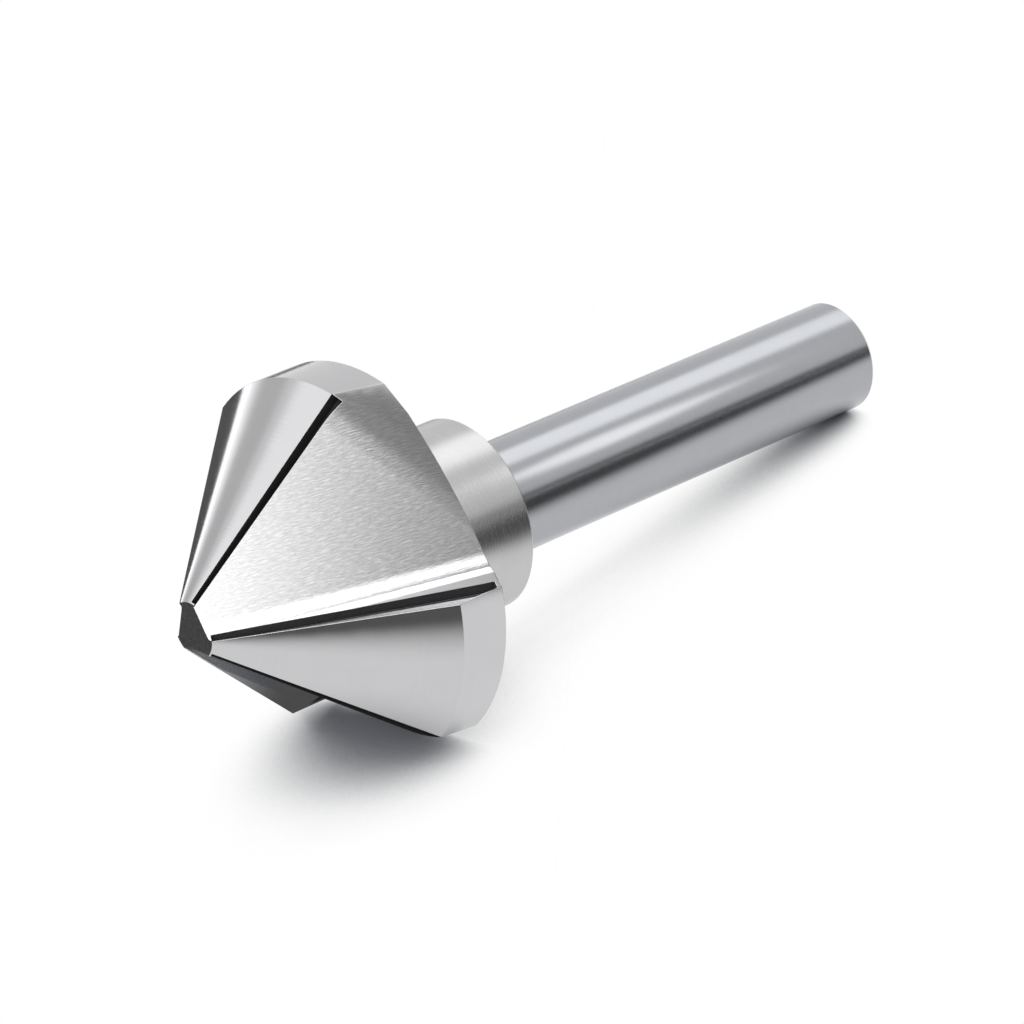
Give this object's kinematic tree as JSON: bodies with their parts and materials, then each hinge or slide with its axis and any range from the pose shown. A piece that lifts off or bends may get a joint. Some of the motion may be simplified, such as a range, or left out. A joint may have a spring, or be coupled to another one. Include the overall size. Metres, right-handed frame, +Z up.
{
  "type": "countersink bit",
  "caption": "Countersink bit with a fluted right-angle cutting cone, a blunt tip, a short collar and a plain round shank, ground from solid tool steel.",
  "frame": {"origin": "centre of the bounding box's base, on the surface that the bit lies on", "axes": "+X along the bit from its blunt tip to its shank's end, seen from above, +Z up, +Y to the left of +X"},
  "size_m": [0.074, 0.033, 0.0322],
  "materials": {
    "tool_steel": "fine-ground bright tool steel, with unground near-black scale in the narrow slots and on the blunt tip"
  },
  "bodies": {
    "root": {"countersink": "tool_steel"}
  },
  "joints": []
}
